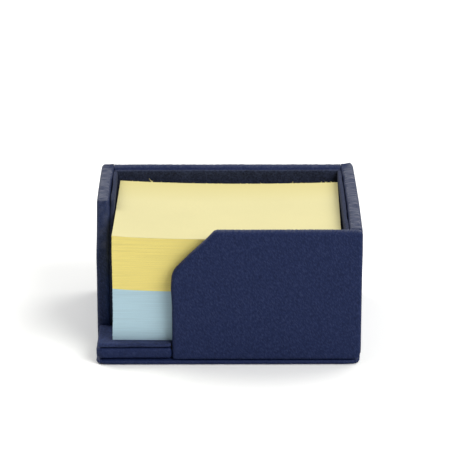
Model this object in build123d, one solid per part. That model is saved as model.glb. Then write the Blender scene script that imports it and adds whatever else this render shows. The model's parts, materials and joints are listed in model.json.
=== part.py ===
"""Leather-covered memo holder with a cut-away front corner, and the note sheets that stand in it.

Millimetres, +X to the right, +Y to the back, +Z up, origin at the middle of the underside.
Each wall is a board wrapped in leather, which is turned in on the back of the board. Suede-wrapped
linings cover the turn-ins, and two pads of loose sheets stand on the floor lining.
"""
from build123d import *
from math import asin, cos, degrees, radians, sin
import os

# Note sheets, A7 paper in two colours
sheet_length = 105.0
sheet_width = 74.0
sheet_thickness = 0.1
blue_pad_height = 24.3
yellow_pad_height = 26.1

# Room round the stack of sheets
side_play = 0.8
depth_play = 6.6
corner_gap = 0.3
rim_above_stack = 5.3

# Coverings, how far each is turned in on the back of its board, and the soft edge of a fold
leather = 0.9
leather_turn_in = 12.0
suede = 0.5
suede_turn_in = 8.0
board_edge_round = 0.2
largest_fold_share = 0.45

# Board thicknesses
base_card = 1.4
floor_core = 3.4
front_core = 2.6
wall_core = 4.3
lining_card = 1.0
floor_lining_card = 0.8

# Cut-away corner at the front left, for the thumb
front_cutaway = 35.4
side_cutaway = 24.0
cutaway_slope = 20.0
slope_low_round = 7.0
slope_high_round = 2.5

# Corners, set-backs and joints
base_inset = 0.1
base_corner_round = 3.0
sill_corner_round = 3.0
sill_gap = 0.6
lining_gap = 0.3
lining_drop = 0.8
left_lining_setback = 0.9
floor_lining_front_setback = 0.5
floor_lining_side_setback = 1.4
front_lining_margin = 3.0

# Thickness of each wrapped panel
base_thickness = base_card + 2 * leather
floor_thickness = floor_core + 2 * leather
front_thickness = front_core + 2 * leather
wall_thickness = wall_core + 2 * leather
lining_thickness = lining_card + 2 * suede
floor_lining_thickness = floor_lining_card + 2 * suede

# Heights
base_top = base_thickness
floor_top = base_top + floor_thickness
well_floor = floor_top + floor_lining_thickness
blue_pad_top = well_floor + blue_pad_height
stack_top = blue_pad_top + yellow_pad_height
rim = stack_top + rim_above_stack
lining_rim = rim - lining_drop

# Outer faces of the walls
half_length = sheet_length / 2 + side_play + lining_thickness + wall_thickness
holder_width = front_thickness + suede + sheet_width + depth_play + lining_thickness + wall_thickness
half_width = holder_width / 2

# Inner faces of the walls, ends of the cut walls, and the well between the linings
inner_side = half_length - wall_thickness
inner_front = -half_width + front_thickness
inner_back = half_width - wall_thickness
panel_end = -half_length + front_cutaway
left_wall_end = -half_width + side_cutaway
well_side = inner_side - lining_thickness
well_back = inner_back - lining_thickness

# The loose stack lies as far askew as the linings let it: the left one holds it behind the open corner only
stack_front = inner_front + suede + corner_gap
left_lining_end = left_wall_end + left_lining_setback
held_depth = sheet_width - (left_lining_end - stack_front)
stack_turn = -degrees(asin(max(0.0, 2 * (side_play - corner_gap)) / held_depth))
turned_depth = sheet_width * cos(radians(stack_turn)) + sheet_length * sin(radians(-stack_turn))
turned_length = sheet_length * cos(radians(stack_turn)) + sheet_width * sin(radians(-stack_turn))
stack_x = well_side - corner_gap - turned_length / 2
stack_y = stack_front + turned_depth / 2

INWARD = (0, 0, -1)

# Rounding of each corner in turn, 0 for a square one
SQUARE_CORNERS = [0]
SLOPE_ROUNDS = [0, 0, slope_low_round, slope_high_round, 0]


def outline_of(corners, rounds):
    """A closed flat outline through the corners, some of them rounded."""
    outline = Polygon(*corners)
    for corner, radius in zip(corners, rounds):
        if radius > 0:
            outline = fillet(outline.vertices().sort_by_distance(corner)[0], radius)
    return outline


def inset(outline, amount):
    """The same outline, smaller by the amount all round."""
    return offset(outline, -amount, kind=Kind.INTERSECTION)


def all_round(edges):
    """Every edge of a wrapped board is in sight."""
    return edges


def all_but_inner_foot(edges):
    """The foot of a wall is in sight on the outside only."""
    foot = edges.group_by(Axis.Y)[0]
    return edges - foot.sort_by(Axis.Z)[:1]


def all_but_foot(edges):
    """The foot of an upright lining is hidden by what it stands on."""
    return edges - edges.group_by(Axis.Y)[0]


def round_the_face(edges):
    """Only the edges round the face that shows are in sight."""
    return edges.group_by(Axis.Z)[-1]


def all_but_back_end(edges):
    """The back end of the sill is hidden by the left wall."""
    return edges - edges.group_by(Axis.Y)[-1]


def wrapped_block(outline, thickness, skin, in_sight):
    """The outside of a wrapped board, with the soft edge of a folded skin wherever it is in sight."""
    block = extrude(outline, thickness, dir=INWARD)
    fold_radius = min(skin + board_edge_round, largest_fold_share * thickness)
    return fillet(in_sight(block.edges()), fold_radius)


def wrapped_panel(face, corners, core, skin, turn_in, in_sight, rounds=SQUARE_CORNERS):
    """A board and the skin round it, with the skin turned in on the back of the board.

    The face plane lies on the side that shows and points away from the panel.
    """
    outline = outline_of(corners, rounds)
    block = wrapped_block(outline, core + 2 * skin, skin, in_sight)
    board = Pos(0, 0, -skin) * extrude(inset(outline, skin), core, dir=INWARD)
    bare_back = inset(Polygon(*corners), turn_in)
    window = Pos(0, 0, -skin - core) * extrude(bare_back, skin, dir=INWARD)
    cover = block - board - window
    return face * board, face * cover


def leather_wall(face, corners, core, rounds=SQUARE_CORNERS):
    """An upright board wrapped in leather."""
    return wrapped_panel(face, corners, core, leather, leather_turn_in, all_but_inner_foot, rounds)


def wall_lining(face, corners, rounds=SQUARE_CORNERS):
    """An upright card wrapped in suede."""
    return wrapped_panel(face, corners, lining_card, suede, suede_turn_in, all_but_foot, rounds)


def upright(start, end, low, high):
    """Corners of a plain upright panel."""
    return [(start, low), (end, low), (end, high), (start, high)]


def upright_with_slope(cut_end, far_end, low, high):
    """Corners of an upright panel whose top corner at the cut end is sloped off."""
    step = cutaway_slope if far_end > cut_end else -cutaway_slope
    slope_foot = (cut_end, high - cutaway_slope)
    slope_head = (cut_end + step, high)
    return [(far_end, low), (cut_end, low), slope_foot, slope_head, (far_end, high)]


# Planes on the faces that show: outside of the walls
FRONT_FACE = Plane(origin=(0, -half_width, 0), x_dir=(1, 0, 0), z_dir=(0, -1, 0))
BACK_FACE = Plane(origin=(0, half_width, 0), x_dir=(-1, 0, 0), z_dir=(0, 1, 0))
LEFT_FACE = Plane(origin=(-half_length, 0, 0), x_dir=(0, -1, 0), z_dir=(-1, 0, 0))
RIGHT_FACE = Plane(origin=(half_length, 0, 0), x_dir=(0, 1, 0), z_dir=(1, 0, 0))

# Planes on the faces that show: underside, floor and inside of the linings
UNDERSIDE = Plane(origin=(0, 0, 0), x_dir=(1, 0, 0), z_dir=(0, 0, -1))
TRAY_TOP = Plane(origin=(0, 0, floor_top), x_dir=(1, 0, 0), z_dir=(0, 0, 1))
WELL_FLOOR = Plane(origin=(0, 0, well_floor), x_dir=(1, 0, 0), z_dir=(0, 0, 1))
WELL_FRONT = Plane(origin=(0, inner_front + suede, 0), x_dir=(-1, 0, 0), z_dir=(0, 1, 0))
WELL_BACK = Plane(origin=(0, well_back, 0), x_dir=(1, 0, 0), z_dir=(0, -1, 0))
WELL_LEFT = Plane(origin=(-well_side, 0, 0), x_dir=(0, 1, 0), z_dir=(1, 0, 0))
WELL_RIGHT = Plane(origin=(well_side, 0, 0), x_dir=(0, -1, 0), z_dir=(-1, 0, 0))


def base_plate():
    """Thin card in leather under the whole holder, with rounded corners."""
    side = half_length - base_inset
    depth = half_width - base_inset
    corners = [(-side, -depth), (side, -depth), (side, depth), (-side, depth)]
    rounds = [base_corner_round] * len(corners)
    return wrapped_panel(UNDERSIDE, corners, base_card, leather, leather_turn_in, all_round, rounds)


def front_panel():
    """Front wall, across the whole front but for the cut-away corner."""
    corners = upright_with_slope(panel_end, half_length, base_top, rim)
    return leather_wall(FRONT_FACE, corners, front_core, SLOPE_ROUNDS)


def left_wall():
    """Left wall, from the cut-away corner to the back. Its local X runs to the front."""
    corners = upright_with_slope(-left_wall_end, -half_width, base_top, rim)
    return leather_wall(LEFT_FACE, corners, wall_core, SLOPE_ROUNDS)


def right_wall():
    """Right wall, from behind the front panel to the back."""
    corners = upright(inner_front, half_width, base_top, rim)
    return leather_wall(RIGHT_FACE, corners, wall_core)


def back_wall():
    """Back wall, between the side walls."""
    corners = upright(-inner_side, inner_side, base_top, rim)
    return leather_wall(BACK_FACE, corners, wall_core)


def floor_plan(front_inset, side_inset, tab_end_gap, wall_gap):
    """Plan of the tray floor: the space between the walls, and the tab in the cut-away corner."""
    tab_left = -half_length + side_inset
    tab_front = -half_width + front_inset
    tab_right = panel_end - tab_end_gap
    tab_back = left_wall_end - tab_end_gap
    side = inner_side - wall_gap
    front = inner_front + wall_gap
    back = inner_back - wall_gap
    tab = [(-side, tab_back), (tab_left, tab_back), (tab_left, tab_front), (tab_right, tab_front)]
    between_walls = [(tab_right, front), (side, front), (side, back), (-side, back)]
    return tab + between_walls


def tray_floor():
    """Floor board between the walls, and the leather round the edge that the open corner shows."""
    plan = floor_plan(leather, leather, sill_gap + leather, 0)
    board = Pos(0, 0, -leather) * extrude(Polygon(*plan), floor_core, dir=INWARD)
    tab_right = panel_end - sill_gap
    tab_back = left_wall_end - sill_gap
    corners = [
        (-half_length, -half_width),
        (tab_right, -half_width),
        (tab_right, tab_back),
        (-half_length, tab_back),
    ]
    outline = outline_of(corners, [sill_corner_round])
    sill = wrapped_block(outline, floor_thickness, leather, all_but_back_end)
    bare_left = -half_length + leather_turn_in
    bare_front = -half_width + leather_turn_in
    bare_tab = [
        (bare_left, bare_front),
        (tab_right, bare_front),
        (tab_right, tab_back),
        (bare_left, tab_back),
    ]
    sill -= board
    sill -= extrude(Polygon(*bare_tab), floor_thickness, dir=INWARD)
    return TRAY_TOP * board, TRAY_TOP * sill


def floor_lining():
    """Lining of the floor, which also covers the tab in the cut-away corner."""
    plan = floor_plan(floor_lining_front_setback, floor_lining_side_setback, lining_gap, lining_gap)
    return wrapped_panel(WELL_FLOOR, plan, floor_lining_card, suede, suede_turn_in, round_the_face)


def back_lining():
    """Lining of the back wall, from side wall to side wall."""
    corners = upright(-inner_side, inner_side, well_floor, lining_rim)
    return wall_lining(WELL_BACK, corners)


def left_lining():
    """Lining of the left wall, sloped off with it."""
    corners = upright_with_slope(left_lining_end, well_back, well_floor, lining_rim)
    return wall_lining(WELL_LEFT, corners, SLOPE_ROUNDS)


def right_lining():
    """Lining of the right wall, from the front panel to the back lining."""
    corners = upright(-well_back, -inner_front, well_floor, lining_rim)
    return wall_lining(WELL_RIGHT, corners)


def front_lining():
    """Suede sheet pasted on the inside of the front panel. Its local X runs to the left."""
    cut_end = -(panel_end + front_lining_margin)
    far_end = -(well_side - lining_gap)
    corners = upright_with_slope(cut_end, far_end, well_floor, rim - front_lining_margin)
    return WELL_FRONT * extrude(outline_of(corners, SLOPE_ROUNDS), suede, dir=INWARD)


def sheets(bottom, height):
    """A block of loose sheets standing in the well."""
    stand = (Align.CENTER, Align.CENTER, Align.MIN)
    block = Box(sheet_length, sheet_width, height, align=stand)
    return Location((stack_x, stack_y, bottom), (0, 0, stack_turn)) * block


nodes = {}
nodes["base_board"], nodes["base_cover"] = base_plate()
nodes["floor_board"], nodes["sill_cover"] = tray_floor()
nodes["front_board"], nodes["front_cover"] = front_panel()
nodes["back_board"], nodes["back_cover"] = back_wall()
nodes["left_board"], nodes["left_cover"] = left_wall()
nodes["right_board"], nodes["right_cover"] = right_wall()
nodes["floor_lining_board"], nodes["floor_lining_suede"] = floor_lining()
nodes["back_lining_board"], nodes["back_lining_suede"] = back_lining()
nodes["left_lining_board"], nodes["left_lining_suede"] = left_lining()
nodes["right_lining_board"], nodes["right_lining_suede"] = right_lining()
nodes["front_lining"] = front_lining()
nodes["blue_pad"] = sheets(well_floor, blue_pad_height)
nodes["yellow_pad"] = sheets(blue_pad_top, yellow_pad_height - sheet_thickness)
nodes["top_sheet"] = sheets(stack_top - sheet_thickness, sheet_thickness)

os.makedirs("parts", exist_ok=True)
for name, shape in nodes.items():
    export_step(shape.solid(), f"parts/{name}.step")
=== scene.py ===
"""Looks of the leather memo holder: grained leather on its boards, suede linings and loose note sheets.

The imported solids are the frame. Each piece that shows is made again here with soft folds, wrinkles and
loose sheets, in metres and in the same frame, and rides on the body of the solid that it stands for.
"""
import json
import math
import random

import bmesh
import bpy
from bpy.props import FloatProperty, FloatVectorProperty, IntProperty, PointerProperty
from mathutils import Matrix, Vector, noise
from mathutils.geometry import intersect_point_line


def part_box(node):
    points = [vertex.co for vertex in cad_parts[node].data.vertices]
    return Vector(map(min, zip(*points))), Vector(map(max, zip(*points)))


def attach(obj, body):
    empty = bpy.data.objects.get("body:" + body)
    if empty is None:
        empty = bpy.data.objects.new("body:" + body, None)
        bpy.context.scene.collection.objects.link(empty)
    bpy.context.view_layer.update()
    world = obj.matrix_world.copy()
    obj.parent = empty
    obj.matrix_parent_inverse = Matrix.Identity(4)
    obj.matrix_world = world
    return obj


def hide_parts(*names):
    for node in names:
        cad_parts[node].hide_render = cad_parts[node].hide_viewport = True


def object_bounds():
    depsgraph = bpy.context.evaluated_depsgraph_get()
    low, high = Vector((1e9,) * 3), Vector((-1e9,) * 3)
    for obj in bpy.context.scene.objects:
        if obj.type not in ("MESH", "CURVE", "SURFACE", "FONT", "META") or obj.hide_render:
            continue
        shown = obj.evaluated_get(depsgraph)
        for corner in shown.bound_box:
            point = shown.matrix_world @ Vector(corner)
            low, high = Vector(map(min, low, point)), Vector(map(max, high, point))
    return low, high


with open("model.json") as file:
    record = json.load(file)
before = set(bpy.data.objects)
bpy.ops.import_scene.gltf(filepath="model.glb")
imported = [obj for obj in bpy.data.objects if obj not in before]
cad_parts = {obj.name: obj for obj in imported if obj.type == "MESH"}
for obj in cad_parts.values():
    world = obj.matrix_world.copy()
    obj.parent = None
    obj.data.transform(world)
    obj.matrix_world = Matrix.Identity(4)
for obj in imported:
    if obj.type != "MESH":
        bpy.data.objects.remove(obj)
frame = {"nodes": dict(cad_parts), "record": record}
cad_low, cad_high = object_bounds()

bl_info = {
    "name": "Memo holder looks",
    "version": (1, 0, 0),
    "blender": (4, 5, 0),
    "location": "View3D > Sidebar > Memo holder",
    "description": "Covers the solids of a memo holder with leather, suede and paper",
    "category": "Mesh",
}

FRONT = Vector((0, -1, 0))
BACK = Vector((0, 1, 0))
LEFT = Vector((-1, 0, 0))
RIGHT = Vector((1, 0, 0))
UP = Vector((0, 0, 1))
DOWN = Vector((0, 0, -1))
ALONG = Vector((1, 0, 0))
ACROSS = Vector((0, 1, 0))

# Distances below TINY count as none. Edges shorter than SLIVER are dissolved before a skin is thickened.
TINY = 1e-6
SLIVER = 3e-5
# Distance between the cuts that let a skin ripple, and the slant of the grain of the leather
SLICE = 0.002
GRAIN_TURN = (math.radians(18), math.radians(-28), 0)

# The body that each solid belongs to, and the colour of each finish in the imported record
body_of = {node: body for body, nodes in frame["record"]["behaviour"]["bodies"].items() for node in nodes}
slot_colour = {row["slot"]: row["base_color"] for row in frame["record"]["materials"]}


def colour_setting(description, default):
    """A colour that a user may change."""
    return FloatVectorProperty(description=description, default=default, subtype="COLOR", min=0, max=1)


def length_setting(description, default):
    """A length in metres that a user may change."""
    return FloatProperty(description=description, default=default, unit="LENGTH", precision=5)


def number_setting(description, default, unit="NONE"):
    """A share, a strength or the power of a lamp that a user may change."""
    return FloatProperty(description=description, default=default, unit=unit)


def count_setting(description, default):
    """A count that a user may change."""
    return IntProperty(description=description, default=default, min=1)


def place_setting(description, default):
    """A point in space that a user may change."""
    return FloatVectorProperty(description=description, default=default, subtype="TRANSLATION")


class LeatherSettings(bpy.types.PropertyGroup):
    """Sizes and colours of the leather."""

    colour: colour_setting("Dye of the leather", (0.0126, 0.0232, 0.084))
    # Dye of the side walls with painted shade: less blue than the front's, so that the end of the left wall
    # reads as shaded
    side_shaded_dye: colour_setting("Dye of the leather on the side walls", (0.0144, 0.0242, 0.07))
    streak_colour: colour_setting("Light streaks in the grain", (0.028, 0.04, 0.11))
    # Painted sheen: the pale colour of the top folds of the front and the back stands for reflected light
    top_sheen_colour: colour_setting("Stretched top folds of the front and the back", (0.05, 0.06, 0.109))
    # Painted sheen: the paler colour of the top folds of the side walls stands for reflected light
    side_top_sheen_colour: colour_setting("Paler top folds of the side walls", (0.126, 0.136, 0.183))
    thickness: length_setting("Thickness of the leather", 0.0009)
    turn_in: length_setting("Width of the strip turned in on the back of a board", 0.012)
    fold: length_setting("Radius of the folds round the base plate", 0.0015)
    wall_fold: length_setting("Radius of the folds round the front panel and the side walls", 0.0019)
    back_fold: length_setting("Radius of the folds along the back wall", 0.0028)
    sill_fold: length_setting("Radius of the folds along the sill", 0.0016)
    butt_fold: length_setting("Radius of an edge that is butted against a wall", 0.0003)
    ripple: length_setting("How far the leather sinks between its glued places", 0.00014)
    ripple_length: length_setting("Distance from one ripple to the next", 0.014)
    grain: length_setting("Distance between the slanting streaks of the grain", 0.00044)
    pebble: length_setting("Size of one pebble of the grain", 0.0007)
    seam: length_setting("How far a top fold pulls away from what stands behind it", 0.0005)
    seam_length: length_setting("Distance from one wave of a seam to the next", 0.011)
    rim_sink: length_setting("How far the top of the base plate is sunk along its rim", 0.0008)
    foot_drop: length_setting("How far the outer foot of a wall reaches down over that rim", 0.0004)
    sill_setback: length_setting("How far the left side of the sill stands back", 0.0003)
    crown: length_setting("How far the back wall stands up along its top", 0.0006)
    wrinkle: length_setting("Distance between the wrinkles on the top folds", 0.00048)
    wrinkle_depth: length_setting("Depth of the wrinkles on the top folds", 0.00014)
    slope: length_setting("Length and height of the slopes at the open corner", 0.02)
    slope_low_round: length_setting("Rounding at the foot of the slopes", 0.007)
    slope_high_round: length_setting("Rounding at the head of the slopes", 0.0025)
    base_round: length_setting("Rounding of the corners of the base plate", 0.003)
    sill_round: length_setting("Rounding of the corner of the sill", 0.003)
    panel_low_round: length_setting("Rounding of the lower right corner of the front panel", 0.0034)
    panel_high_round: length_setting("Rounding of the upper right corner of the front panel", 0.0023)
    left_tip: length_setting("How far the back tip of the left wall stands up", 0.0006)
    right_tip: length_setting("How far the back tip of the right wall stands up", 0.0012)
    # The inner share of a back tip gets no painted sheen
    tip_share_without_sheen: number_setting("Share of a back tip that is tucked under and so not stretched", 0.5)
    bulge: length_setting("How far the side walls bulge along their tops", 0.0003)
    edge_swell: length_setting("How far the open edge of the front panel swells out", 0.00042)
    pleat: length_setting("Depth of the pleats at the corners of the base plate", 0.0003)
    ear: length_setting("How far the top of the base plate stands out at its left front corner", 0.0007)
    draw_in: length_setting("How far the base plate is drawn in at its front corners", 0.0006)


class SuedeSettings(bpy.types.PropertyGroup):
    """Sizes and colours of the suede."""

    colour: colour_setting("Suede on the walls", (0.0215, 0.0272, 0.0545))
    floor_colour: colour_setting("Suede on the floor", (0.024, 0.034, 0.09))
    thickness: length_setting("Thickness of the suede", 0.0005)
    turn_in: length_setting("Width of the strip turned in on the back of a card", 0.008)
    fold: length_setting("Radius of the suede where it is folded over an edge", 0.0007)
    floor_fold: length_setting("Radius of the suede round the thin floor lining", 0.00088)
    seam: length_setting("How far a top fold pulls away from the wall behind it", 0.0004)
    seam_length: length_setting("Distance from one wave of a seam to the next", 0.009)
    ripple: length_setting("How far the suede sinks between its glued places", 0.00012)
    ripple_length: length_setting("Distance from one ripple to the next", 0.009)
    gap: length_setting("Gap between the floor lining and the walls", 0.0003)
    overhang: length_setting("How far the floor lining spreads to the left over the sill", 0.0003)
    loose_edge: length_setting("How far the floor lining stands up along its open edges", 0.0005)


class PaperSettings(bpy.types.PropertyGroup):
    """Sizes and colours of the note sheets."""

    yellow_face: colour_setting("Face of a yellow sheet", (0.795, 0.725, 0.385))
    # Painted shade near the back edge of the yellow sheets
    shaded_back_face: colour_setting("Face of a yellow sheet near its torn back edge", (0.735, 0.65, 0.285))
    yellow_edge: colour_setting("Cut edges of the yellow sheets", (0.95, 0.8, 0.255))
    blue_edge: colour_setting("Cut edges of the blue sheets", (0.52, 0.72, 0.81))
    sheet: length_setting("Thickness of one sheet", 0.0001)
    looseness: length_setting("How far a group of sheets lies out of line", 0.00006)
    sway: length_setting("How far the stack leans out of line over its height", 0.0003)
    sway_seed: count_setting("Number that settles which way the stack leans", 21604)
    foot_lean: length_setting("How far the lowest sheets lie further to the front", 0.0008)
    sag: length_setting("How far the middle of the stack lies below its corners", 0.0006)
    back_left_lift: length_setting("Curl of the back left corner", 0.0011)
    back_right_lift: length_setting("Curl of the back right corner", 0.0008)
    front_left_lift: length_setting("Curl of the front left corner", 0.001)
    ragged: length_setting("How far the back edge of the top sheet is frayed", 0.00055)
    largest_group: count_setting("Most sheets in line together", 7)
    edge_cuts: count_setting("Places where an edge of a pad can bend", 31)


class StageSettings(bpy.types.PropertyGroup):
    """Floor, lamps and camera."""

    floor_colour: colour_setting("Colour of the pale floor", (0.93, 0.93, 0.912))
    floor_seen: number_setting("How much brighter the floor is in the picture", 1.34)
    floor_size: length_setting("Half the side of the floor", 4.0)
    sky: number_setting("Strength of the even light from all round", 0.2)
    room: number_setting("Brightness of the white room in reflections", 0.9)
    key_power: number_setting("Lamp at the front right", 13.6, "POWER")
    top_power: number_setting("Lamp overhead", 2.7, "POWER")
    left_power: number_setting("Lamp at the back left", 9.4, "POWER")
    right_power: number_setting("Lamp at the back right", 5.7, "POWER")
    camera_place: place_setting("Place of the camera", (-0.0046, -1.09735, 0.46976))
    camera_aim: place_setting("Point that the camera looks at", (-0.000868, 0, 0.051099))
    lens: number_setting("Focal length in millimetres", 197.83)


def smooth_step(low, high, value):
    """From 0 at low to 1 at high, level at both ends."""
    share = min(1.0, max(0.0, (value - low) / (high - low)))
    return share * share * (3 - 2 * share)


class PanelPlane:
    """The side of a panel that shows, as a plane of its own: along it, up it and outwards."""

    def __init__(self, node, outward):
        up = BACK if outward.z else UP
        along = up.cross(outward)
        turn = Matrix((along, up, outward)).transposed().to_4x4()
        ends = [turn.inverted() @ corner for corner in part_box(node)]
        self.start, self.foot, back = (min(values) for values in zip(*ends))
        self.end, self.head, face = (max(values) for values in zip(*ends))
        self.thickness = face - back
        self.to_holder = turn @ Matrix.Translation((0, 0, face))

    def square(self):
        """Corners of a plain panel."""
        at_foot = [(self.start, self.foot), (self.end, self.foot)]
        return at_foot + [(self.end, self.head), (self.start, self.head)]

    def sloped(self, slope, cut_at_start):
        """Corners of a panel whose upper corner is sloped off at one end."""
        near, far, step = (self.start, self.end, slope) if cut_at_start else (self.end, self.start, -slope)
        slope_ends = [(near, self.head - slope), (near + step, self.head)]
        return [(far, self.foot), (near, self.foot), *slope_ends, (far, self.head)]

    def near_head(self, vert, reach):
        """From 0 at a distance below the head of the panel to 1 at its head."""
        return smooth_step(self.head - reach, self.head, vert.co.y)

    def place(self, bm):
        """Moves a mesh from the plane to where the panel stands in the holder."""
        bmesh.ops.transform(bm, matrix=self.to_holder, verts=bm.verts)


def tray_outline(plane, tab_gap, wall_gap):
    """Corners of a layer of the tray floor: its tab in the open corner, and the space between the walls."""
    tab_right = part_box("front_cover")[0].x - tab_gap
    tab_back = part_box("left_cover")[0].y - tab_gap
    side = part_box("left_cover")[1].x + wall_gap
    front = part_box("front_cover")[1].y + wall_gap
    tab = [(side, tab_back), (plane.start, tab_back), (plane.start, plane.foot), (tab_right, plane.foot)]
    between_walls = [(tab_right, front), (plane.end, front), (plane.end, plane.head), (side, plane.head)]
    return tab + between_walls


def slope_rounds(leather):
    """Roundings for the corners of a panel with a slope."""
    return [0, 0, leather.slope_low_round, leather.slope_high_round, 0]


# Shaping of wrapped panels, in the panel's own plane


def verts_in(geometry):
    """The vertices among the parts of a mesh."""
    return [part for part in geometry if isinstance(part, bmesh.types.BMVert)]


def all_parts(bm):
    """All vertices, edges and faces of a mesh."""
    return bm.verts[:] + bm.edges[:] + bm.faces[:]


def parts_of(faces):
    """The faces and their edges and vertices, each once."""
    edges = {edge for face in faces for edge in face.edges}
    verts = {vert for face in faces for vert in face.verts}
    return list(verts) + list(edges) + list(faces)


def cut(bm, parts, place, direction):
    """Cuts parts of a mesh along a plane and keeps both sides."""
    bmesh.ops.bisect_plane(bm, geom=parts, dist=TINY, plane_co=place, plane_no=direction)


def soften(bm, parts, affect, offset, segments):
    """Rounds corners or edges of a mesh."""
    bmesh.ops.bevel(
        bm, geom=parts, affect=affect, offset=offset, offset_type="OFFSET", segments=segments, profile=0.5,
        material=-1,
    )


def round_corner(bm, vert, radius, segments):
    """Rounds one corner of a flat face."""
    arms = [edge.other_vert(vert).co - vert.co for edge in vert.link_edges]
    reach = radius / math.tan(arms[0].angle(arms[1]) / 2)
    soften(bm, [vert], "VERTICES", reach, segments)


def sharp_edges(bm):
    """The edges that still have to be folded."""
    return [edge for edge in bm.edges if edge.calc_face_angle() > math.radians(30)]


def soft_block(corners, rounds, thickness, fold, corner_segments=6, fold_segments=5, butted=None):
    """A slab under the panel's face with rounded corners, its edges as soft as a folded skin.

    Butted is the radius of the edges at the panel's two ends, where those are tighter than the rest.
    """
    bm = bmesh.new()
    verts = [bm.verts.new((along, up, 0)) for along, up in corners]
    bm.faces.new(verts)
    for vert, radius in zip(verts, rounds):
        if radius > 0:
            round_corner(bm, vert, radius, corner_segments)
    thick = bmesh.ops.extrude_face_region(bm, geom=bm.faces[:])
    bmesh.ops.translate(bm, vec=(0, 0, -thickness), verts=verts_in(thick["geom"]))
    bmesh.ops.recalc_face_normals(bm, faces=bm.faces)
    if butted:
        long_edges = []
        for edge in sharp_edges(bm):
            start, end = edge.verts
            if abs(start.co.x - end.co.x) > thickness:
                long_edges.append(edge)
        soften(bm, long_edges, "EDGES", fold, fold_segments)
        soften(bm, sharp_edges(bm), "EDGES", butted, 2)
    else:
        soften(bm, sharp_edges(bm), "EDGES", fold, fold_segments)
    return bm


def slice_up(bm, step):
    """Cuts the mesh both ways by evenly spaced planes, so that it can ripple."""
    for direction in (ALONG, ACROSS):
        places = [vert.co.dot(direction) for vert in bm.verts]
        start, end = min(places), max(places)
        count = max(1, round((end - start) / step))
        for index in range(1, count):
            place = start + (end - start) * index / count
            cut(bm, all_parts(bm), direction * place, direction)


def sides_of(corners):
    """The two ends of each side of an outline."""
    points = [Vector(corner).to_3d() for corner in corners]
    return zip(points, points[1:] + points[:1])


def distance_to_outline(corners, point):
    """How far a point is from the nearest side of an outline."""
    found = []
    for start, end in sides_of(corners):
        foot, share = intersect_point_line(point, start, end)
        nearest = start.lerp(end, min(1.0, max(0.0, share)))
        found.append((point - nearest).length)
    return min(found)


def back_faces(bm, thickness):
    """The faces that lie flat on the back of a panel."""
    return [face for face in bm.faces if all(vert.co.z < TINY - thickness for vert in face.verts)]


def bare_the_back(bm, corners, thickness, turn_in):
    """Takes the skin off the back of a panel, but for the strip that is turned in all round."""
    for start, end in sides_of(corners):
        across = UP.cross(end - start).normalized()
        for inward in (across, -across):
            cut(bm, parts_of(back_faces(bm, thickness)), start + inward * turn_in, inward)
    bare = []
    for face in back_faces(bm, thickness):
        place = face.calc_center_median()
        place.z = 0
        if distance_to_outline(corners, place) > turn_in:
            bare.append(face)
    bmesh.ops.delete(bm, geom=bare, context="FACES")


def ripple_skin(bm, depth, wave_length, thickness):
    """Lets the skin sink a little between its glued places, more at its folds than on its faces."""
    on_faces = 0.6
    more_at_folds = 0.9
    bm.normal_update()
    for vert in bm.verts:
        if vert.co.z > TINY - thickness:
            wave = 0.5 + 0.5 * noise.noise(vert.co / wave_length)
            fold_share = 1 - abs(vert.normal.z)
            vert.co -= vert.normal * depth * wave * (on_faces + more_at_folds * fold_share)


def mark_stretch_and_sheen(bm):
    """Marks the stretched top of a panel, which also gets the painted sheen, by how far it faces upwards.
    """
    slack = 0.62
    taut = 0.95
    stretch = bm.verts.layers.float.new("stretch")
    bm.normal_update()
    for vert in bm.verts:
        vert[stretch] = smooth_step(slack, taut, vert.normal.y)
    return stretch


def wrinkle_top(bm, look, slant):
    """Presses fine wrinkles into the skin across its stretched top, slanted by a share of their width."""
    level_share = 0.8
    shortest_edge = 0.0012
    cuts_in_edge = 10
    drawn_out = 8
    softness = 0.25
    stretch = mark_stretch_and_sheen(bm)
    crease = bm.verts.layers.float.new("crease")
    along_top = []
    for edge in bm.edges:
        start, end = edge.verts
        length = edge.calc_length()
        level = abs(start.co.x - end.co.x) > level_share * length
        if level and length > shortest_edge and start[stretch] > 0 and end[stretch] > 0:
            along_top.append(edge)
    bmesh.ops.subdivide_edges(bm, edges=along_top, cuts=cuts_in_edge)
    bm.normal_update()
    for vert in bm.verts:
        place = Vector((vert.co.x + slant * vert.co.z, vert.co.z / drawn_out, 0)) / look.wrinkle
        # The crease mark also keeps the painted sheen out of the wrinkles
        vert[crease] = smooth_step(-softness, softness, noise.noise(place))
        vert.co -= vert.normal * look.wrinkle_depth * vert[crease] * vert[stretch]


def crown_top(bm, plane, height):
    """Lets the skin stand up a little along the top of a panel."""
    reach = 0.006
    for vert in bm.verts:
        vert.co.y += height * plane.near_head(vert, reach)


def tuck_foot(bm, plane, look):
    """Makes the outer fold along the foot of a panel tighter and lower, over the rim of the base plate."""
    tightened = 0.5
    reach = 0.006
    for vert in bm.verts:
        above = vert.co.y - plane.foot
        if above < look.wall_fold + TINY and vert.co.z > -look.wall_fold - TINY:
            vert.co.z *= tightened
            vert.co.y -= tightened * above
        outer = 1 - smooth_step(0, plane.thickness / 2, -vert.co.z)
        vert.co.y -= look.foot_drop * outer * (1 - smooth_step(0, reach, above))


def loosen_top(bm, plane, look):
    """Lets the skin pull away in waves from what stands behind its top edge, but not at its ends."""
    reach = 0.005
    held_end = 0.006
    free_from = 0.014
    softness = 0.4
    # Each panel takes its waves from another row of the noise
    row = plane.start * 99
    for vert in bm.verts:
        near_back = smooth_step(plane.thickness / 2, plane.thickness, -vert.co.z)
        from_end = min(vert.co.x - plane.start, plane.end - vert.co.x)
        place = Vector((vert.co.x / look.seam_length, row, 0))
        wave = smooth_step(-softness, softness, noise.noise(place))
        loose = plane.near_head(vert, reach) * near_back * smooth_step(held_end, free_from, from_end)
        vert.co.z += look.seam * wave * loose


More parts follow.
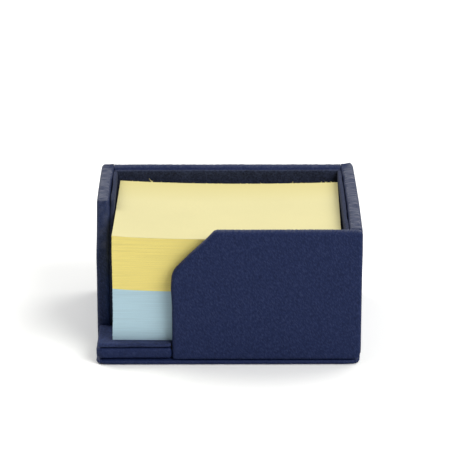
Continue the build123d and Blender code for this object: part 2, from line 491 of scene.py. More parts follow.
def wrapped_skin(plane, corners, rounds, look, fold, step=SLICE, **block):
    """The skin of a wrapped board: a soft block, open on the back inside its turn-in."""
    bm = soft_block(corners, rounds, plane.thickness, fold, **block)
    slice_up(bm, step)
    bare_the_back(bm, corners, plane.thickness, look.turn_in)
    ripple_skin(bm, look.ripple, look.ripple_length, plane.thickness)
    return bm


def close_skin(bm, look):
    """Gives the skin its thickness, inwards to the board."""
    bmesh.ops.dissolve_degenerate(bm, dist=SLIVER, edges=bm.edges[:])
    bmesh.ops.recalc_face_normals(bm, faces=bm.faces)
    bmesh.ops.solidify(bm, geom=bm.faces[:], thickness=look.thickness - look.ripple)


def add_piece(bm, name, node, finishes, smooth=True):
    """Makes the mesh an object that stands for a solid of the frame and rides on its body."""
    for face in bm.faces:
        face.smooth = smooth
    mesh = bpy.data.meshes.new(name)
    bm.to_mesh(mesh)
    bm.free()
    for finish in finishes:
        mesh.materials.append(finish)
    piece = bpy.data.objects.new(name, mesh)
    bpy.context.scene.collection.objects.link(piece)
    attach(piece, body_of[node])
    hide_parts(node)


# Finishes. Scales of noise are counts to the metre.


def new_finish(name):
    """An empty material and its node tree."""
    material = bpy.data.materials.get(name) or bpy.data.materials.new(name)
    material.use_nodes = True
    tree = material.node_tree
    tree.nodes.clear()
    return material, tree


def add_node(tree, kind, inputs=None, **settings):
    """Adds a node, sets it up, and links or sets its inputs."""
    node = tree.nodes.new(kind)
    for key, value in settings.items():
        setattr(node, key, value)
    for key, value in (inputs or {}).items():
        if isinstance(value, bpy.types.NodeSocket):
            tree.links.new(value, node.inputs[key])
        else:
            node.inputs[key].default_value = value
    return node


def object_place(tree, stretch=(1, 1, 1), turn=(0, 0, 0)):
    """A place on the piece in metres, for a pattern that is stretched along its own turned axes."""
    place = add_node(tree, "ShaderNodeTexCoord").outputs["Object"]
    inputs = {"Vector": place, "Scale": stretch, "Rotation": turn}
    return add_node(tree, "ShaderNodeMapping", inputs, vector_type="TEXTURE").outputs["Vector"]


def noise_value(tree, place, scale, detail=2.0, roughness=0.5):
    """Soft random mottling."""
    inputs = {"Vector": place, "Scale": scale, "Detail": detail, "Roughness": roughness}
    return add_node(tree, "ShaderNodeTexNoise", inputs).outputs["Fac"]


def marked(tree, name):
    """What was marked on the vertices of a skin."""
    return add_node(tree, "ShaderNodeAttribute", attribute_name=name).outputs["Fac"]


def between(tree, value, low, high, new_low=0.0, new_high=1.0):
    """The value moved from one range to another."""
    inputs = {"Value": value, "From Min": low, "From Max": high, "To Min": new_low, "To Max": new_high}
    return add_node(tree, "ShaderNodeMapRange", inputs).outputs["Result"]


def work_out(tree, operation, *values):
    """One sum of two or three values."""
    return add_node(tree, "ShaderNodeMath", dict(enumerate(values)), operation=operation).outputs["Value"]


def mix_colours(tree, share, first, second):
    """Two colours mixed by a share."""
    inputs = {0: share, 6: first, 7: second}
    return add_node(tree, "ShaderNodeMix", inputs, data_type="RGBA").outputs[2]


def shade(colour, amount=1):
    """A colour made darker or lighter, with its alpha."""
    return [min(1.0, part * amount) for part in colour] + [1.0]


def finish_surface(tree, colour, roughness, specular, bump, sheen=None):
    """The shader of a finish and its output. Bump is a height, its strength and its depth in metres."""
    height, strength, depth = bump
    raised = add_node(tree, "ShaderNodeBump", {"Height": height, "Strength": strength, "Distance": depth})
    inputs = {
        "Base Color": colour,
        "Roughness": roughness,
        "Specular IOR Level": specular,
        "Normal": raised.outputs["Normal"],
    }
    shader = add_node(tree, "ShaderNodeBsdfPrincipled", inputs | (sheen or {}))
    add_node(tree, "ShaderNodeOutputMaterial", {"Surface": shader.outputs["BSDF"]})


def leather_finish(look, name, dye, top_sheen_colour):
    """Leather with a fine slanting grain, a satin gloss, and painted sheen between the wrinkles on its
    tops.
    """
    material, tree = new_finish(name)
    pebble_place = object_place(tree, (1, 1, 1.8), GRAIN_TURN)
    cells = {"Vector": pebble_place, "Scale": 1 / look.pebble, "Smoothness": 0.5}
    distance = add_node(tree, "ShaderNodeTexVoronoi", cells, feature="SMOOTH_F1").outputs["Distance"]
    pebble = between(tree, distance, 0.1, 0.65, 1.0, 0.0)
    streaks = noise_value(tree, object_place(tree, (1, 1, 7), GRAIN_TURN), 1 / look.grain, 1)
    fine = noise_value(tree, object_place(tree), 2600, 3)
    tone = noise_value(tree, object_place(tree), 85, 3)
    # Dark and light streaks, dark hollows between the pebbles, and faint clouds
    dyed = mix_colours(tree, between(tree, streaks, 0.3, 0.5), shade(dye, 0.66), shade(dye))
    dyed = mix_colours(tree, between(tree, streaks, 0.5, 0.68), dyed, shade(look.streak_colour))
    dyed = mix_colours(tree, between(tree, pebble, 0, 1, 0.3, 0.0), dyed, shade(dye, 0.55))
    clouded = mix_colours(tree, 0.1, dyed, shade(dye, 0.6))
    dyed = mix_colours(tree, between(tree, tone, 0.3, 0.7), dyed, clouded)
    # Painted sheen on the upward-facing top folds, left out of the creases of their wrinkles
    ridges = between(tree, marked(tree, "crease"), 0, 1, 1.1, 0.0)
    top_sheen = work_out(tree, "MULTIPLY", marked(tree, "stretch"), ridges)
    colour = mix_colours(tree, top_sheen, dyed, shade(top_sheen_colour))
    gloss = between(tree, fine, 0.3, 0.7, 0.4, 0.54)
    grain = work_out(tree, "MULTIPLY_ADD", between(tree, streaks, 0.35, 0.65), 1.4, pebble)
    finish_surface(tree, colour, gloss, 0.12, bump=(grain, 0.4, 0.00014))
    return material


def suede_finish(name, dye):
    """Short matte nap, brushed lighter and darker."""
    material, tree = new_finish(name)
    nap = noise_value(tree, object_place(tree), 1300, 4, 0.7)
    strokes = noise_value(tree, object_place(tree, (1, 1, 2)), 130, 3)
    brushed = work_out(tree, "MULTIPLY_ADD", nap, 0.8, work_out(tree, "MULTIPLY", strokes, 0.2))
    colour = mix_colours(tree, between(tree, brushed, 0.34, 0.66), shade(dye, 0.35), shade(dye, 1.75))
    sheen = {"Sheen Weight": 0.12, "Sheen Roughness": 0.45, "Sheen Tint": [0.5, 0.55, 0.75, 1.0]}
    finish_surface(tree, colour, 0.95, 0.12, bump=(nap, 0.6, 0.0002), sheen=sheen)
    return material


def paper_face_finish(name, colour, shaded_back_colour):
    """The face of a matte sheet with faint fibres and clouds, in painted shade towards its back edge."""
    material, tree = new_finish(name)
    fibres = noise_value(tree, object_place(tree, (1, 2.5, 1)), 2400, 5, 0.65)
    clouds = noise_value(tree, object_place(tree), 45, 2)
    paper = mix_colours(tree, between(tree, fibres, 0.3, 0.7), shade(colour, 0.965), shade(colour, 1.02))
    clouded = mix_colours(tree, 0.5, paper, shade(colour, 0.94))
    paper = mix_colours(tree, between(tree, clouds, 0.3, 0.7), paper, clouded)
    # Painted shade: the colour deepens from the middle of the sheet to its back edge
    depth = add_node(tree, "ShaderNodeSeparateXYZ", {"Vector": object_place(tree)}).outputs["Y"]
    paper = mix_colours(tree, between(tree, depth, 0.008, 0.034), paper, shade(shaded_back_colour))
    finish_surface(tree, paper, 0.9, 0.15, bump=(fibres, 0.12, 0.00008))
    return material


def paper_edge_finish(name, colour, look):
    """The cut edges of stacked sheets: fine level lines, a few of them darker."""
    material, tree = new_finish(name)
    sheets = noise_value(tree, object_place(tree, (80, 80, 1)), 0.4 / look.sheet, 2)
    groups = noise_value(tree, object_place(tree, (50, 50, 1)), 0.09 / look.sheet, 2)
    grit = noise_value(tree, object_place(tree), 1500, 3)
    edge = mix_colours(tree, between(tree, sheets, 0.36, 0.62), shade(colour, 0.94), shade(colour, 1.03))
    edge = mix_colours(tree, between(tree, groups, 0.3, 0.46), shade(colour, 0.92), edge)
    edge = mix_colours(tree, between(tree, grit, 0.35, 0.7, 0.0, 0.12), edge, shade(colour, 0.85))
    finish_surface(tree, edge, 0.92, 0.1, bump=(sheets, 0.25, 0.0001))
    return material


def board_finish():
    """Raw grey board with pale and dark fibres."""
    material, tree = new_finish("raw_grey_board")
    colour = slot_colour["grey_board"]
    fibres = noise_value(tree, object_place(tree, (1, 3, 1)), 1600, 5, 0.7)
    flecks = noise_value(tree, object_place(tree), 700, 2)
    board = mix_colours(tree, between(tree, fibres, 0.3, 0.7), shade(colour, 0.8), shade(colour, 1.15))
    board = mix_colours(tree, between(tree, flecks, 0.66, 0.72, 0.0, 0.6), board, shade(colour, 0.45))
    finish_surface(tree, board, 0.95, 0.1, bump=(fibres, 0.3, 0.0002))
    return material


def leather_on_sides(look):
    """Leather of the side walls, its dye partly painted shade, with painted sheen on the tops."""
    return leather_finish(look, "navy_leather_sides", look.side_shaded_dye, look.side_top_sheen_colour)


def leather_on_ends(look):
    """Leather of the front, the back, the sill and the base."""
    return leather_finish(look, "navy_leather_ends", look.colour, look.top_sheen_colour)


# Operators, one for each piece or group of like pieces


class MEMO_OT_base_plate(bpy.types.Operator):
    """Leather round the thin base plate, pleated at its rounded corners"""

    bl_idname = "memo.base_plate"
    bl_label = "Base plate"

    def execute(self, context):
        look = context.scene.memo_leather
        plane = PanelPlane("base_cover", DOWN)
        rounds = [look.base_round] * 4
        step = 1.5 * SLICE
        bm = wrapped_skin(plane, plane.square(), rounds, look, look.fold, step, corner_segments=16)
        plane.place(bm)
        low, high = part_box("base_cover")
        for side in (-1, 1):
            for depth in (-1, 1):
                along = (high.x - look.base_round) * side
                across = (high.y - look.base_round) * depth
                self.pleat_corner(bm, Vector((along, across, 0)), look)
        self.sink_rim(bm, low, high, look)
        self.draw_corner_in(bm, Vector((low.x, low.y, 0)), high.z, -look.ear, look.draw_in)
        self.draw_corner_in(bm, Vector((high.x, low.y, 0)), high.z, look.draw_in * 0.8, look.draw_in)
        close_skin(bm, look)
        add_piece(bm, "base_leather", "base_cover", [leather_on_ends(look)])
        return {"FINISHED"}

    def pleat_corner(self, bm, centre, look):
        """Gathers the leather into pleats round one corner."""
        pleats = 3
        flat_until = 0.3
        full_from = 0.9
        for vert in bm.verts:
            arm = (vert.co - centre).to_2d()
            if arm.x * centre.x > 0 and arm.y * centre.y > 0:
                angle = math.atan2(abs(arm.y), abs(arm.x))
                wave = 0.5 - 0.5 * math.cos(4 * angle * pleats)
                share = smooth_step(flat_until, full_from, arm.length / look.base_round)
                inward = -arm.normalized() * look.pleat * wave * share
                vert.co += inward.to_3d()

    def sink_rim(self, bm, low, high, look):
        """Presses the top of the plate down along its rim, so that a seam shows under the walls."""
        sunk_until = 0.001
        level_from = 0.004
        for vert in bm.verts:
            from_rim = min(vert.co.x - low.x, high.x - vert.co.x, vert.co.y - low.y, high.y - vert.co.y)
            sunk = 1 - smooth_step(sunk_until, level_from, from_rim)
            vert.co.z -= look.rim_sink * sunk * vert.co.z / high.z

    def draw_corner_in(self, bm, corner, thickness, at_top, at_foot):
        """Draws the leather in round one corner, by one amount along its top and another along its foot."""
        reach = 0.008
        for vert in bm.verts:
            near = 1 - smooth_step(0, reach, (vert.co - corner).to_2d().length)
            amount = at_foot + (at_top - at_foot) * vert.co.z / thickness
            vert.co.x -= math.copysign(amount * near, corner.x)
            vert.co.y -= math.copysign(amount * near, corner.y)


class MEMO_OT_front_panel(bpy.types.Operator):
    """Leather round the front panel, with its slope at the open corner"""

    bl_idname = "memo.front_panel"
    bl_label = "Front panel"

    def execute(self, context):
        look = context.scene.memo_leather
        plane = PanelPlane("front_cover", FRONT)
        corners = plane.sloped(look.slope, cut_at_start=True)
        rounds = slope_rounds(look)
        rounds[0] = look.panel_low_round
        rounds[-1] = look.panel_high_round
        bm = wrapped_skin(plane, corners, rounds, look, look.wall_fold)
        tuck_foot(bm, plane, look)
        self.swell_open_edge(bm, plane, look)
        wrinkle_top(bm, look, slant=0.5)
        crown_top(bm, plane, 0.6 * look.crown)
        close_skin(bm, look)
        plane.place(bm)
        add_piece(bm, "front_leather", "front_cover", [leather_on_ends(look)])
        return {"FINISHED"}

    def swell_open_edge(self, bm, plane, look):
        """Lets the edge at the open corner swell out on its slope and again below it."""
        reach = 0.012
        half_length = 0.45 * look.slope
        slope_foot = plane.head - look.slope
        for vert in bm.verts:
            edge = plane.start + max(0, vert.co.y - slope_foot)
            near_edge = 1 - smooth_step(0, reach, vert.co.x - edge)
            for share in (0.4, -0.4):
                off_centre = abs(vert.co.y - slope_foot - share * look.slope)
                swelling = 1 - smooth_step(0, half_length, off_centre)
                vert.co.x -= look.edge_swell * near_edge * swelling


class MEMO_OT_side_walls(bpy.types.Operator):
    """Leather round the left and right walls, their back tips standing up a little"""

    bl_idname = "memo.side_walls"
    bl_label = "Side walls"

    def execute(self, context):
        look = context.scene.memo_leather
        left = PanelPlane("left_cover", LEFT)
        left_corners = left.sloped(look.slope, cut_at_start=False)
        self.add_wall("left", left, left_corners, slope_rounds(look), look, look.left_tip)
        right = PanelPlane("right_cover", RIGHT)
        self.add_wall("right", right, right.square(), [0], look, look.right_tip)
        return {"FINISHED"}

    def add_wall(self, side, plane, corners, rounds, look, tip_lift):
        """One wall, bulging along its top, with its back tip raised to a ridge."""
        bm = wrapped_skin(plane, corners, rounds, look, look.wall_fold)
        tuck_foot(bm, plane, look)
        wrinkle_top(bm, look, slant=0.2)
        loosen_top(bm, plane, look)
        plane.place(bm)
        stretch = bm.verts.layers.float["stretch"]
        low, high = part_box(side + "_cover")
        inside = low.x if side == "right" else high.x
        outward = 1 if side == "right" else -1
        for vert in bm.verts:
            self.tighten_inner_fold(vert, Vector((inside, vert.co.y, high.z)), high.y, look)
            outside = abs(vert.co.x - inside) / plane.thickness
            vert.co.x += outward * look.bulge * self.bulging(vert, low, high) * smooth_step(0, 1, outside)
            vert.co.z += self.tip_share(vert, high) * self.tip_height(outside, tip_lift, look)
            # Painted sheen is taken off the inner share of the back tip
            vert[stretch] *= self.sheen_kept_on_tip(vert, outside, high.y, look)
        close_skin(bm, look)
        add_piece(bm, side + "_leather", side + "_cover", [leather_on_sides(look)])

    def tighten_inner_fold(self, vert, corner, back, look):
        """Makes the fold along the inner top edge tighter where the back wall is butted against it."""
        tightened = 0.8
        loose_until = back - 0.011
        tight_from = back - 0.006
        arm = vert.co - corner
        if abs(arm.x) < look.wall_fold + TINY and abs(arm.z) < look.wall_fold + TINY:
            vert.co = corner + arm * (1 - tightened * smooth_step(loose_until, tight_from, vert.co.y))

    def bulging(self, vert, low, high):
        """From 0 at the ends and well below the top of a wall to 1 at the middle of its top."""
        reach = 0.02
        top = smooth_step(high.z - reach, high.z, vert.co.z)
        return top * math.sin(math.pi * (vert.co.y - low.y) / (high.y - low.y))

    def tip_share(self, vert, high):
        """From 0 away from the back tip of a wall to 1 at the tip."""
        length = 0.007
        depth = 0.004
        near_back = smooth_step(high.y - length, high.y, vert.co.y)
        return near_back * smooth_step(high.z - depth, high.z, vert.co.z)

    def tip_height(self, outside, tip_lift, look):
        """Height of a tip across the wall: level with the crown inside, up to a ridge, and down outside."""
        ridge_at = 0.7
        rise = smooth_step(0, ridge_at, outside)
        ridge = rise - 0.6 * smooth_step(ridge_at, 1, outside)
        return tip_lift * (1.3 * ridge - 0.3) + look.crown * (1 - rise)

    def sheen_kept_on_tip(self, vert, outside, back, look):
        """From 0 across the inner share of a back tip to 1 further out: how much of the painted sheen the
        tip keeps.
        """
        tuck_start = back - 0.014
        tuck_end = back - 0.002
        without_sheen = look.tip_share_without_sheen * smooth_step(tuck_start, tuck_end, vert.co.y)
        return smooth_step(without_sheen - 0.15, without_sheen + 0.1, outside)


class MEMO_OT_back_wall(bpy.types.Operator):
    """Leather round the back wall, between the side walls"""

    bl_idname = "memo.back_wall"
    bl_label = "Back wall"

    def execute(self, context):
        look = context.scene.memo_leather
        plane = PanelPlane("back_cover", BACK)
        bm = wrapped_skin(plane, plane.square(), [0], look, look.back_fold, butted=look.butt_fold)
        wrinkle_top(bm, look, slant=1.0)
        crown_top(bm, plane, look.crown)
        loosen_top(bm, plane, look)
        close_skin(bm, look)
        plane.place(bm)
        add_piece(bm, "back_leather", "back_cover", [leather_on_ends(look)])
        return {"FINISHED"}


class MEMO_OT_sill(bpy.types.Operator):
    """Leather round the edge of the tray floor in the open corner"""

    bl_idname = "memo.sill"
    bl_label = "Sill"

    def execute(self, context):
        look = context.scene.memo_leather
        plane = PanelPlane("sill_cover", UP)
        bm = soft_block(plane.square(), [look.sill_round], plane.thickness, look.sill_fold)
        slice_up(bm, 0.75 * SLICE)
        ripple_skin(bm, 2 * look.ripple, look.ripple_length, plane.thickness)
        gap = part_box("front_cover")[0].x - plane.end
        for vert in bm.verts:
            along = smooth_step(plane.start, plane.end, vert.co.x)
            vert.co.x += look.sill_setback * (1 - along) + gap * along
        plane.place(bm)
        self.open_inner_side(bm, look)
        close_skin(bm, look)
        add_piece(bm, "sill_leather", "sill_cover", [leather_on_ends(look)])
        return {"FINISHED"}

    def open_inner_side(self, bm, look):
        """Takes the leather off where the floor board runs on between the walls."""
        low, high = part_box("sill_cover")
        panel_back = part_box("front_cover")[1].y
        wall_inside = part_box("left_cover")[1].x
        for place in (low.x + look.turn_in, wall_inside, high.x - look.sill_fold):
            cut(bm, all_parts(bm), ALONG * place, ALONG)
        for place in (low.y + look.turn_in, panel_back, high.y - look.sill_fold):
            cut(bm, all_parts(bm), ACROSS * place, ACROSS)
        gone = []
        for face in bm.faces:
            place = face.calc_center_median()
            bare = place.x > low.x + look.turn_in and place.y > low.y + look.turn_in
            right_end = place.x > high.x - look.sill_fold and place.y > panel_back
            back_end = place.y > high.y - look.sill_fold and place.x > wall_inside
            if bare or right_end or back_end:
                gone.append(face)
        bmesh.ops.delete(bm, geom=gone, context="FACES")


class MEMO_OT_floor_lining(bpy.types.Operator):
    """Suede round the floor lining, which also covers the sill in the open corner"""

    bl_idname = "memo.floor_lining"
    bl_label = "Floor lining"

    def execute(self, context):
        look = context.scene.memo_suede
        plane = PanelPlane("floor_lining_suede", UP)
        bm = wrapped_skin(plane, tray_outline(plane, look.gap, look.gap), [0], look, look.floor_fold)
        self.loosen_open_edges(bm, plane, look)
        close_skin(bm, look)
        plane.place(bm)
        finish = suede_finish("navy_suede_floor", look.floor_colour)
        add_piece(bm, "floor_suede", "floor_lining_suede", [finish])
        return {"FINISHED"}

    def loosen_open_edges(self, bm, plane, look):
        """Lets the lining stand up a little from the sill along its two open edges."""
        reach = 0.005
        for vert in bm.verts:
            from_edge = min(vert.co.x - plane.start, vert.co.y - plane.foot)
            wave = 0.75 + 0.5 * noise.noise(vert.co / look.ripple_length)
            vert.co.z += look.loose_edge * wave * (1 - smooth_step(0, reach, from_edge))
            vert.co.x -= look.overhang * (1 - smooth_step(0, reach, vert.co.x - plane.start))


class MEMO_OT_wall_linings(bpy.types.Operator):
    """Suede round the back, left and right linings, and the suede sheet behind the front panel"""

    bl_idname = "memo.wall_linings"
    bl_label = "Wall linings"

    def execute(self, context):
        look = context.scene.memo_suede
        leather = context.scene.memo_leather
        back = PanelPlane("back_lining_suede", FRONT)
        self.add_lining("back", back, back.square(), [0], look)
        right = PanelPlane("right_lining_suede", LEFT)
        self.add_lining("right", right, right.square(), [0], look)
        left = PanelPlane("left_lining_suede", RIGHT)
        left_corners = left.sloped(leather.slope, cut_at_start=True)
        self.add_lining("left", left, left_corners, slope_rounds(leather), look)
        self.add_pasted_sheet(leather, look)
        return {"FINISHED"}

    def add_lining(self, side, plane, corners, rounds, look):
        """One suede-wrapped card."""
        bm = wrapped_skin(plane, corners, rounds, look, look.fold)
        loosen_top(bm, plane, look)
        close_skin(bm, look)
        plane.place(bm)
        finish = suede_finish("navy_suede_walls", look.colour)
        add_piece(bm, side + "_suede", side + "_lining_suede", [finish])

    def add_pasted_sheet(self, leather, look):
        """The suede sheet on the inside of the front panel."""
        plane = PanelPlane("front_lining", BACK)
        corners = plane.sloped(leather.slope, cut_at_start=False)
        fold = plane.thickness * 0.3
        bm = soft_block(corners, slope_rounds(leather), plane.thickness, fold, fold_segments=2)
        slice_up(bm, 1.5 * SLICE)
        ripple_skin(bm, look.ripple, look.ripple_length, plane.thickness)
        plane.place(bm)
        finish = suede_finish("navy_suede_walls", look.colour)
        add_piece(bm, "front_suede", "front_lining", [finish])


class Stack:
    """Where the loose stack of sheets lies, and how its sheets curl and sway."""

    def __init__(self, look):
        noise.seed_set(look.sway_seed)
        points = [vert.co for vert in frame["nodes"]["blue_pad"].data.vertices]
        front_left = min(points, key=lambda point: point.x)
        front_right = min(points, key=lambda point: point.y)
        back_left = max(points, key=lambda point: point.y)
        along = (front_right - front_left).to_2d()
        across = (back_left - front_left).to_2d()
        self.length = along.length
        self.width = across.length
        self.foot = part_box("blue_pad")[0].z
        self.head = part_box("top_sheet")[1].z
        self.turn = math.atan2(along.y, along.x)
        self.middle = (front_right + back_left).to_2d() / 2
        self.look = look

    def curl(self, along, across, share):
        """How far a point of a sheet stands above its place in a flat stack."""
        look = self.look
        full_from = 0.55
        right = along / self.length + 0.5
        back = across / self.width + 0.5
        left, front = 1 - right, 1 - back
        corners = look.back_left_lift * left ** 3 * back ** 2
        corners += look.back_right_lift * right ** 2 * back ** 2
        corners += look.front_left_lift * (0.5 * left ** 4 + 0.5 * left ** 16) * front ** 3
        return (corners - look.sag * 4 * left * right) * smooth_step(0, full_from, share)

    def place(self, vert):
        """Moves a point from a flat stack round the origin to where it lies in the holder."""
        wave_height = 0.012
        upright_from = 0.5
        along, across, height = vert.co
        share = (height - self.foot) / (self.head - self.foot)
        lean = noise.noise_vector(Vector((0, 0, height / wave_height))) * self.look.sway
        forward = self.look.foot_lean * (1 - smooth_step(0, upright_from, share)) - lean.y * 0.3
        lifted = Vector((along + lean.x, across - forward, height + self.curl(along, across, share)))
        turned = Matrix.Rotation(self.turn, 3, "Z") @ lifted
        vert.co = turned + self.middle.to_3d()


class MEMO_OT_note_pads(bpy.types.Operator):
    """The blue and the yellow sheets, in groups that lie a little out of line"""

    bl_idname = "memo.note_pads"
    bl_label = "Note pads"

    def execute(self, context):
        look = context.scene.memo_paper
        stack = Stack(look)
        blue = paper_edge_finish("blue_sheet_edges", look.blue_edge, look)
        blue_face = paper_face_finish("blue_sheet_face", look.blue_edge, look.blue_edge)
        yellow = paper_edge_finish("yellow_sheet_edges", look.yellow_edge, look)
        yellow_face = paper_face_finish("yellow_sheet_face", look.yellow_face, look.shaded_back_face)
        self.add_pad("blue", stack, look, [blue, blue_face], seed=5)
        self.add_pad("yellow", stack, look, [yellow, yellow_face], seed=8)
        return {"FINISHED"}

    def add_pad(self, name, stack, look, finishes, seed):
        """One pad, built up group by group."""
        chance = random.Random(seed)
        node = name + "_pad"
        foot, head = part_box(node)[0].z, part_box(node)[1].z
        bm = bmesh.new()
        top = self.lay_lowest(bm, stack, look, foot)
        height = foot
        offset = Vector()
        while height < head - TINY:
            group = chance.randint(2, look.largest_group) * look.sheet
            rise = min(group, head - height)
            top = self.raise_group(bm, top, UP * rise)
            height += rise
            if height < head - TINY:
                wanted = Vector((chance.uniform(-1, 1), chance.uniform(-1, 1), 0)) * look.looseness
                top = self.raise_group(bm, top, wanted - offset)
                offset = wanted
        bmesh.ops.recalc_face_normals(bm, faces=bm.faces)
        self.divide_faces(bm, stack)
        for face in bm.faces:
            face.material_index = 1 if self.is_level(face) else 0
        for vert in bm.verts:
            stack.place(vert)
        add_piece(bm, name + "_sheets", node, finishes, smooth=False)

    def lay_lowest(self, bm, stack, look, foot):
        """The underside of a pad, as one face with many corners round its edge."""
        bmesh.ops.create_grid(bm, x_segments=1, y_segments=1, size=0.5)
        bmesh.ops.scale(bm, vec=(stack.length, stack.width, 1), verts=bm.verts)
        bmesh.ops.translate(bm, vec=(0, 0, foot), verts=bm.verts)
        bmesh.ops.delete(bm, geom=bm.faces[:], context="FACES_ONLY")
        bmesh.ops.subdivide_edges(bm, edges=bm.edges[:], cuts=look.edge_cuts)
        return bmesh.ops.contextual_create(bm, geom=bm.edges[:])["faces"]

    def raise_group(self, bm, faces, step):
        """Extrudes the top faces by a step and gives the new ones."""
        made = bmesh.ops.extrude_face_region(bm, geom=faces)["geom"]
        bmesh.ops.translate(bm, vec=step, verts=verts_in(made))
        return [part for part in made if isinstance(part, bmesh.types.BMFace)]

    def is_level(self, face):
        """Whether a face looks up or down."""
        return abs(face.normal.z) > 0.9

    def divide_faces(self, bm, stack):
        """Cuts the top and the underside of a pad into cells, so that they can curl."""
        count = stack.look.edge_cuts + 1
        for direction, length in ((ALONG, stack.length), (ACROSS, stack.width)):
            for index in range(1, count):
                large = [face for face in bm.faces if self.is_level(face) and len(face.verts) > 4]
                cut(bm, parts_of(large), direction * length * (index / count - 0.5), direction)


class MEMO_OT_top_sheet(bpy.types.Operator):
    """The uppermost sheet, frayed along its back edge"""

    bl_idname = "memo.top_sheet"
    bl_label = "Top sheet"

    def execute(self, context):
        look = context.scene.memo_paper
        stack = Stack(look)
        bm = bmesh.new()
        bmesh.ops.create_grid(bm, x_segments=210, y_segments=24, size=0.5)
        bmesh.ops.scale(bm, vec=(stack.length, stack.width, 1), verts=bm.verts)
        self.fray_back_edge(bm, stack, look)
        thick = bmesh.ops.extrude_face_region(bm, geom=bm.faces[:])
        bmesh.ops.translate(bm, vec=(0, 0, look.sheet), verts=verts_in(thick["geom"]))
        bmesh.ops.translate(bm, vec=(0, 0, stack.head - look.sheet), verts=bm.verts)
        self.add_fibres(bm, stack)
        bmesh.ops.recalc_face_normals(bm, faces=bm.faces)
        for vert in bm.verts:
            stack.place(vert)
        face = paper_face_finish("yellow_sheet_face", look.yellow_face, look.shaded_back_face)
        add_piece(bm, "top_yellow_sheet", "top_sheet", [face], smooth=False)
        return {"FINISHED"}

    def fray_back_edge(self, bm, stack, look):
        """Tears the back edge a little, in long waves and in short ones."""
        long_wave = 0.006
        short_wave = 0.0011
        for vert in bm.verts:
            if vert.co.y > stack.width / 2 - TINY:
                coarse = noise.noise(Vector((vert.co.x / long_wave, 3, 0)))
                fine = noise.noise(Vector((vert.co.x / short_wave, 7, 0)))
                vert.co.y -= look.ragged * (0.6 + 0.5 * coarse + 0.5 * fine)

    def add_fibres(self, bm, stack):
        """Short paper fibres that stick out of the torn edge, and one tuft of longer ones."""
        fibres = 40
        tuft_place = -0.0373
        tuft_lift = 0.7
        chance = random.Random(11)
        for index in range(fibres):
            length = chance.uniform(0.0006, 0.0015)
            along = chance.uniform(-0.48, 0.48) * stack.length
            lean = chance.uniform(-1.1, 1.1)
            self.add_fibre(bm, stack, along, length, lean, chance.uniform(-0.2, 0.5))
        for lean, length in ((0.9, 0.0026), (0.4, 0.0014), (-0.6, 0.0012)):
            self.add_fibre(bm, stack, tuft_place, length, lean, tuft_lift)

    def add_fibre(self, bm, stack, along, length, lean, lift):
        """One tapered fibre, its root a little inside the edge."""
        thick_end = 0.00016
        thin_end = 0.00005
        root = 0.0004
        made = bmesh.ops.create_cone(
            bm, cap_ends=True, segments=5, radius1=thick_end, radius2=thin_end, depth=length,
            matrix=Matrix.Translation((0, 0, length * 0.35)),
        )
        turn = Matrix.Rotation(lean, 4, "Z") @ Matrix.Rotation(lift - math.pi / 2, 4, "X")
        place = Matrix.Translation((along, stack.width / 2 - root, stack.head - thin_end))
        bmesh.ops.transform(bm, matrix=place @ turn, verts=made["verts"])


class MEMO_OT_boards(bpy.types.Operator):
    """Raw grey board inside the leather and the suede, its edges rubbed round"""

    bl_idname = "memo.boards"
    bl_label = "Boards"

    def execute(self, context):
        leather = context.scene.memo_leather
        suede = context.scene.memo_suede
        base = PanelPlane("base_board", DOWN)
        self.add_board("base", base, base.square(), [2 * leather.base_round] * 4)
        plain = {"back": BACK, "right": RIGHT, "back_lining": FRONT, "right_lining": LEFT}
        for name, outward in plain.items():
            plane = PanelPlane(name + "_board", outward)
            self.add_board(name, plane, plane.square(), [0])
        sloped = {"front": (FRONT, True), "left": (LEFT, False), "left_lining": (RIGHT, True)}
        for name, (outward, cut_at_start) in sloped.items():
            plane = PanelPlane(name + "_board", outward)
            self.add_board(name, plane, plane.sloped(leather.slope, cut_at_start), slope_rounds(leather))
        sill_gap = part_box("front_cover")[0].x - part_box("sill_cover")[1].x
        floor = PanelPlane("floor_board", UP)
        tab_rounds = [0] + [leather.sill_round] * 3
        self.add_board("floor", floor, tray_outline(floor, sill_gap + leather.thickness, 0), tab_rounds)
        lining = PanelPlane("floor_lining_board", UP)
        inset = suede.gap + suede.thickness
        self.add_board("floor_lining", lining, tray_outline(lining, inset, inset), [0])
        return {"FINISHED"}

    def add_board(self, name, plane, corners, rounds):
        """One board with rounded edges."""
        most_rubbed = 0.0016
        rubbed_share = 0.42
        rubbed = min(most_rubbed, rubbed_share * plane.thickness)
        bm = soft_block(corners, rounds, plane.thickness, rubbed, fold_segments=3)
        plane.place(bm)
        add_piece(bm, name + "_core", name + "_board", [board_finish()])


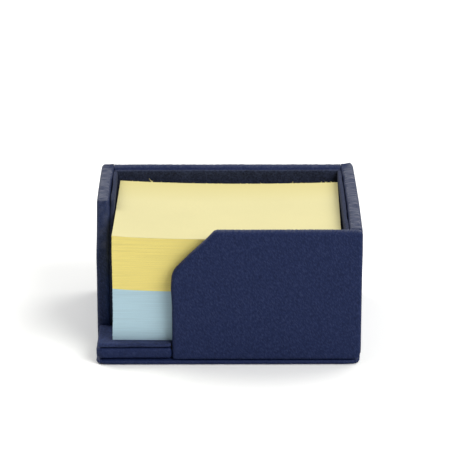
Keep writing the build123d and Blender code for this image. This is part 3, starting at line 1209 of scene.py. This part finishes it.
class MEMO_OT_stage(bpy.types.Operator):
    """Pale floor, soft lamps and the camera"""

    bl_idname = "memo.stage"
    bl_label = "Stage"

    def execute(self, context):
        stage = context.scene.memo_stage
        self.add_floor(context, stage)
        self.light_sky(context, stage)
        self.add_lamp(context, "key_lamp", (0.8, -0.8, 0.9), 1.0, stage.key_power)
        self.add_lamp(context, "top_lamp", (0.0, 0.0, 1.5), 1.2, stage.top_power)
        self.add_lamp(context, "left_lamp", (-0.9, 0.6, 0.9), 1.0, stage.left_power)
        self.add_lamp(context, "right_lamp", (0.9, 0.6, 0.9), 1.0, stage.right_power)
        self.add_camera(context, stage)
        context.scene.view_settings.view_transform = "Standard"
        return {"FINISHED"}

    def add_floor(self, context, stage):
        """A plain pale floor, brighter in the picture than in the light that it gives back."""
        bm = bmesh.new()
        bmesh.ops.create_grid(bm, x_segments=1, y_segments=1, size=stage.floor_size)
        mesh = bpy.data.meshes.new("floor")
        bm.to_mesh(mesh)
        bm.free()
        material, tree = new_finish("pale_floor")
        pale = stage.floor_colour
        speckle = noise_value(tree, object_place(tree), 40, 2)
        colour = mix_colours(tree, speckle, shade(pale, 0.995), shade(pale, 1.005))
        seen = add_node(tree, "ShaderNodeLightPath").outputs["Is Camera Ray"]
        bright = [part * stage.floor_seen for part in pale]
        colour = mix_colours(tree, seen, colour, [*bright, 1.0])
        matte = add_node(tree, "ShaderNodeBsdfDiffuse", {"Color": colour})
        add_node(tree, "ShaderNodeOutputMaterial", {"Surface": matte.outputs["BSDF"]})
        mesh.materials.append(material)
        floor = bpy.data.objects.new("floor", mesh)
        context.scene.collection.objects.link(floor)

    def light_sky(self, context, stage):
        """Even white light from all round, and a white room in reflections."""
        world = bpy.data.worlds.new("white_room")
        world.use_nodes = True
        tree = world.node_tree
        tree.nodes.clear()
        mirrored = add_node(tree, "ShaderNodeLightPath").outputs["Is Glossy Ray"]
        strength = between(tree, mirrored, 0, 1, stage.sky, stage.room)
        sky = add_node(tree, "ShaderNodeBackground", {"Color": (1, 1, 1, 1), "Strength": strength})
        add_node(tree, "ShaderNodeOutputWorld", {"Surface": sky.outputs["Background"]})
        context.scene.world = world

    def add_lamp(self, context, name, place, size, power):
        """A large soft lamp that faces the holder."""
        lamp = bpy.data.lights.new(name, "AREA")
        lamp.energy = power
        lamp.shape = "DISK"
        lamp.size = size
        self.stand(context, name, lamp, place, Vector((0, 0, cad_high.z / 2)))

    def add_camera(self, context, stage):
        """The camera, at the photograph's viewing angle."""
        camera = bpy.data.cameras.new("camera")
        camera.sensor_width = 36
        camera.lens = stage.lens
        place = stage.camera_place
        context.scene.camera = self.stand(context, "camera", camera, place, Vector(stage.camera_aim))

    def stand(self, context, name, device, place, target):
        """Stands a lamp or a camera at a place, facing a target."""
        holder = bpy.data.objects.new(name, device)
        holder.location = place
        aim = target - holder.location
        holder.rotation_euler = aim.to_track_quat("-Z", "Y").to_euler()
        context.scene.collection.objects.link(holder)
        return holder


PIECES = (
    MEMO_OT_base_plate,
    MEMO_OT_sill,
    MEMO_OT_front_panel,
    MEMO_OT_side_walls,
    MEMO_OT_back_wall,
    MEMO_OT_floor_lining,
    MEMO_OT_wall_linings,
    MEMO_OT_note_pads,
    MEMO_OT_top_sheet,
    MEMO_OT_boards,
    MEMO_OT_stage,
)


class MEMO_PT_panel(bpy.types.Panel):
    """Lists the pieces of the memo holder"""

    bl_label = "Memo holder"
    bl_idname = "MEMO_PT_panel"
    bl_space_type = "VIEW_3D"
    bl_region_type = "UI"
    bl_category = "Memo holder"

    def draw(self, context):
        for piece in PIECES:
            self.layout.operator(piece.bl_idname)


SETTINGS = {
    "memo_leather": LeatherSettings,
    "memo_suede": SuedeSettings,
    "memo_paper": PaperSettings,
    "memo_stage": StageSettings,
}


def register():
    for name, settings in SETTINGS.items():
        bpy.utils.register_class(settings)
        setattr(bpy.types.Scene, name, PointerProperty(type=settings))
    for piece in PIECES:
        bpy.utils.register_class(piece)
    bpy.utils.register_class(MEMO_PT_panel)


def unregister():
    bpy.utils.unregister_class(MEMO_PT_panel)
    for piece in reversed(PIECES):
        bpy.utils.unregister_class(piece)
    for name, settings in reversed(SETTINGS.items()):
        delattr(bpy.types.Scene, name)
        bpy.utils.unregister_class(settings)


def main():
    register()
    bpy.ops.memo.base_plate()
    bpy.ops.memo.sill()
    bpy.ops.memo.front_panel()
    bpy.ops.memo.side_walls()
    bpy.ops.memo.back_wall()
    bpy.ops.memo.floor_lining()
    bpy.ops.memo.wall_linings()
    bpy.ops.memo.note_pads()
    bpy.ops.memo.top_sheet()
    bpy.ops.memo.boards()
    bpy.ops.memo.stage()


if __name__ == "__main__":
    main()
